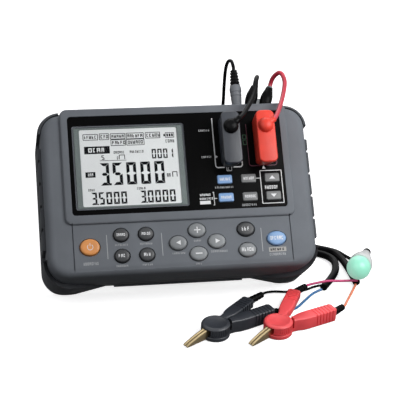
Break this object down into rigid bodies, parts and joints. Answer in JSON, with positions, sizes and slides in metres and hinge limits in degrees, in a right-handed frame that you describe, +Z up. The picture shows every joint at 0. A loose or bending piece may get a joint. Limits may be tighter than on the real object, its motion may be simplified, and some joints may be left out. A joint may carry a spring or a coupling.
{
  "type": "micro ohmmeter",
  "caption": "Resistance meter in a rubber protector, leaning on its folding stand, with dual plugs, four-terminal clip leads and a plug-in result lamp.",
  "frame": {"origin": "Centre of the meter's footprint box on the table, cords and what is on them left out.", "axes": "+X along the meter's width, +Y away from the reader, +Z up. The face leans back towards +Y."},
  "size_m": [0.2496, 0.292, 0.1447],
  "materials": {
    "case_grey": "fine grain moulded plastic",
    "case_dark": "fine grain moulded plastic",
    "protector_rubber": "matte moulded elastomer",
    "panel_gloss": "glossy printed sheet",
    "window": "clear acrylic",
    "display": "display glass and frame",
    "board": "solder resist on glass fibre",
    "mat_rubber": "silicone",
    "cell": "printed sleeve on steel",
    "contact_metal": "nickel plated",
    "socket_black": "moulded",
    "key_orange": "silky rubber",
    "key_dark": "silky rubber",
    "key_grey": "silky rubber",
    "key_blue": "silky rubber",
    "plug_black": "soft satin plastic",
    "plug_red": "soft satin plastic",
    "gilt": "gold plated",
    "plug_grey": "satin plastic",
    "cord_black": "soft cable sheath",
    "cord_red": "soft cable sheath",
    "cord_orange": "soft cable sheath",
    "cord_blue": "soft cable sheath",
    "lamp_green": "frosted, lit from inside",
    "lamp_white": "frosted clear plastic"
  },
  "bodies": {
    "meter": {"front_case": "case_grey", "rear_case": "case_dark", "protector": "protector_rubber", "panel_overlay": "panel_gloss", "display_window": "window", "display_module": "display", "main_board": "board", "keypad_mat": "mat_rubber", "battery_cells": "cell", "battery_contacts": "contact_metal", "battery_cover": "case_dark", "terminal_sockets": "socket_black", "top_jacks": "socket_black", "case_screws": "contact_metal", "black_plug": "plug_black", "red_plug": "plug_red", "plug_pins": "gilt", "lamp_plug": "plug_grey", "junction_block": "plug_grey", "black_branch": "cord_black", "red_branch": "cord_red", "main_cord": "cord_black", "main_coil": "cord_black", "cord_splitter": "cord_black", "black_leg": "cord_black", "red_leg": "cord_black", "lamp_cord": "cord_black", "lamp_coil": "cord_black", "lamp_dome": "lamp_green", "lamp_housing": "lamp_white", "black_wire": "cord_black", "blue_wire": "cord_blue", "red_wire": "cord_red", "orange_wire": "cord_orange", "black_clip_body": "plug_black", "red_clip_body": "plug_red", "fixed_jaws": "gilt"},
    "key_power": {"key_power": "key_orange"},
    "key_compare": {"key_compare": "key_dark"},
    "key_panel": {"key_panel": "key_dark"},
    "key_temperature": {"key_temperature": "key_dark"},
    "key_average": {"key_average": "key_dark"},
    "key_left": {"key_left": "key_grey"},
    "key_right": {"key_right": "key_grey"},
    "key_plus": {"key_plus": "key_grey"},
    "key_minus": {"key_minus": "key_grey"},
    "key_escape": {"key_escape": "key_grey"},
    "key_enter": {"key_enter": "key_grey"},
    "key_memory": {"key_memory": "key_blue"},
    "key_blue_upper": {"key_blue_upper": "key_blue"},
    "key_blue_lower": {"key_blue_lower": "key_blue"},
    "key_grey_upper": {"key_grey_upper": "key_grey"},
    "key_grey_lower": {"key_grey_lower": "key_grey"},
    "key_range_up": {"key_range_up": "key_grey"},
    "key_range_down": {"key_range_down": "key_grey"},
    "stand": {"stand": "case_dark"},
    "black_clip_lever": {"black_clip_lever": "plug_black", "black_lever_jaw": "gilt"},
    "red_clip_lever": {"red_clip_lever": "plug_red", "red_lever_jaw": "gilt"}
  },
  "joints": [
    {"name": "key_power_press", "type": "slide", "parent": "meter", "child": "key_power", "axis": [0, 0.7501, -0.6613], "range_m": [0, 0.0012], "stiffness_N_per_m": 300},
    {"name": "key_compare_press", "type": "slide", "parent": "meter", "child": "key_compare", "axis": [0, 0.7501, -0.6613], "range_m": [0, 0.0012], "stiffness_N_per_m": 300},
    {"name": "key_panel_press", "type": "slide", "parent": "meter", "child": "key_panel", "axis": [0, 0.7501, -0.6613], "range_m": [0, 0.0012], "stiffness_N_per_m": 300},
    {"name": "key_temperature_press", "type": "slide", "parent": "meter", "child": "key_temperature", "axis": [0, 0.7501, -0.6613], "range_m": [0, 0.0012], "stiffness_N_per_m": 300},
    {"name": "key_average_press", "type": "slide", "parent": "meter", "child": "key_average", "axis": [0, 0.7501, -0.6613], "range_m": [0, 0.0012], "stiffness_N_per_m": 300},
    {"name": "key_left_press", "type": "slide", "parent": "meter", "child": "key_left", "axis": [0, 0.7501, -0.6613], "range_m": [0, 0.0012], "stiffness_N_per_m": 300},
    {"name": "key_right_press", "type": "slide", "parent": "meter", "child": "key_right", "axis": [0, 0.7501, -0.6613], "range_m": [0, 0.0012], "stiffness_N_per_m": 300},
    {"name": "key_plus_press", "type": "slide", "parent": "meter", "child": "key_plus", "axis": [0, 0.7501, -0.6613], "range_m": [0, 0.0012], "stiffness_N_per_m": 300},
    {"name": "key_minus_press", "type": "slide", "parent": "meter", "child": "key_minus", "axis": [0, 0.7501, -0.6613], "range_m": [0, 0.0012], "stiffness_N_per_m": 300},
    {"name": "key_escape_press", "type": "slide", "parent": "meter", "child": "key_escape", "axis": [0, 0.7501, -0.6613], "range_m": [0, 0.0012], "stiffness_N_per_m": 300},
    {"name": "key_enter_press", "type": "slide", "parent": "meter", "child": "key_enter", "axis": [0, 0.7501, -0.6613], "range_m": [0, 0.0012], "stiffness_N_per_m": 300},
    {"name": "key_memory_press", "type": "slide", "parent": "meter", "child": "key_memory", "axis": [0, 0.7501, -0.6613], "range_m": [0, 0.0012], "stiffness_N_per_m": 300},
    {"name": "key_blue_upper_press", "type": "slide", "parent": "meter", "child": "key_blue_upper", "axis": [0, 0.7501, -0.6613], "range_m": [0, 0.0012], "stiffness_N_per_m": 300},
    {"name": "key_blue_lower_press", "type": "slide", "parent": "meter", "child": "key_blue_lower", "axis": [0, 0.7501, -0.6613], "range_m": [0, 0.0012], "stiffness_N_per_m": 300},
    {"name": "key_grey_upper_press", "type": "slide", "parent": "meter", "child": "key_grey_upper", "axis": [0, 0.7501, -0.6613], "range_m": [0, 0.0012], "stiffness_N_per_m": 300},
    {"name": "key_grey_lower_press", "type": "slide", "parent": "meter", "child": "key_grey_lower", "axis": [0, 0.7501, -0.6613], "range_m": [0, 0.0012], "stiffness_N_per_m": 300},
    {"name": "key_range_up_press", "type": "slide", "parent": "meter", "child": "key_range_up", "axis": [0, 0.7501, -0.6613], "range_m": [0, 0.0012], "stiffness_N_per_m": 300},
    {"name": "key_range_down_press", "type": "slide", "parent": "meter", "child": "key_range_down", "axis": [0, 0.7501, -0.6613], "range_m": [0, 0.0012], "stiffness_N_per_m": 300},
    {"name": "stand_swing", "type": "hinge", "parent": "meter", "child": "stand", "pos_m": [0, 0.01886, 0.04999], "axis": [1, 0, 0], "range_deg": [0, 121.9]},
    {"name": "black_clip_squeeze", "type": "hinge", "parent": "meter", "child": "black_clip_lever", "pos_m": [0.017, -0.086, 0.005], "axis": [0, 0, 1], "range_deg": [-4, 0], "stiffness_Nm_per_rad": 0.2, "deforming": ["black_wire"]},
    {"name": "red_clip_squeeze", "type": "hinge", "parent": "meter", "child": "red_clip_lever", "pos_m": [0.06, -0.088, 0.005], "axis": [0, 0, 1], "range_deg": [-12, 0], "stiffness_Nm_per_rad": 0.2, "deforming": ["red_wire"]}
  ]
}
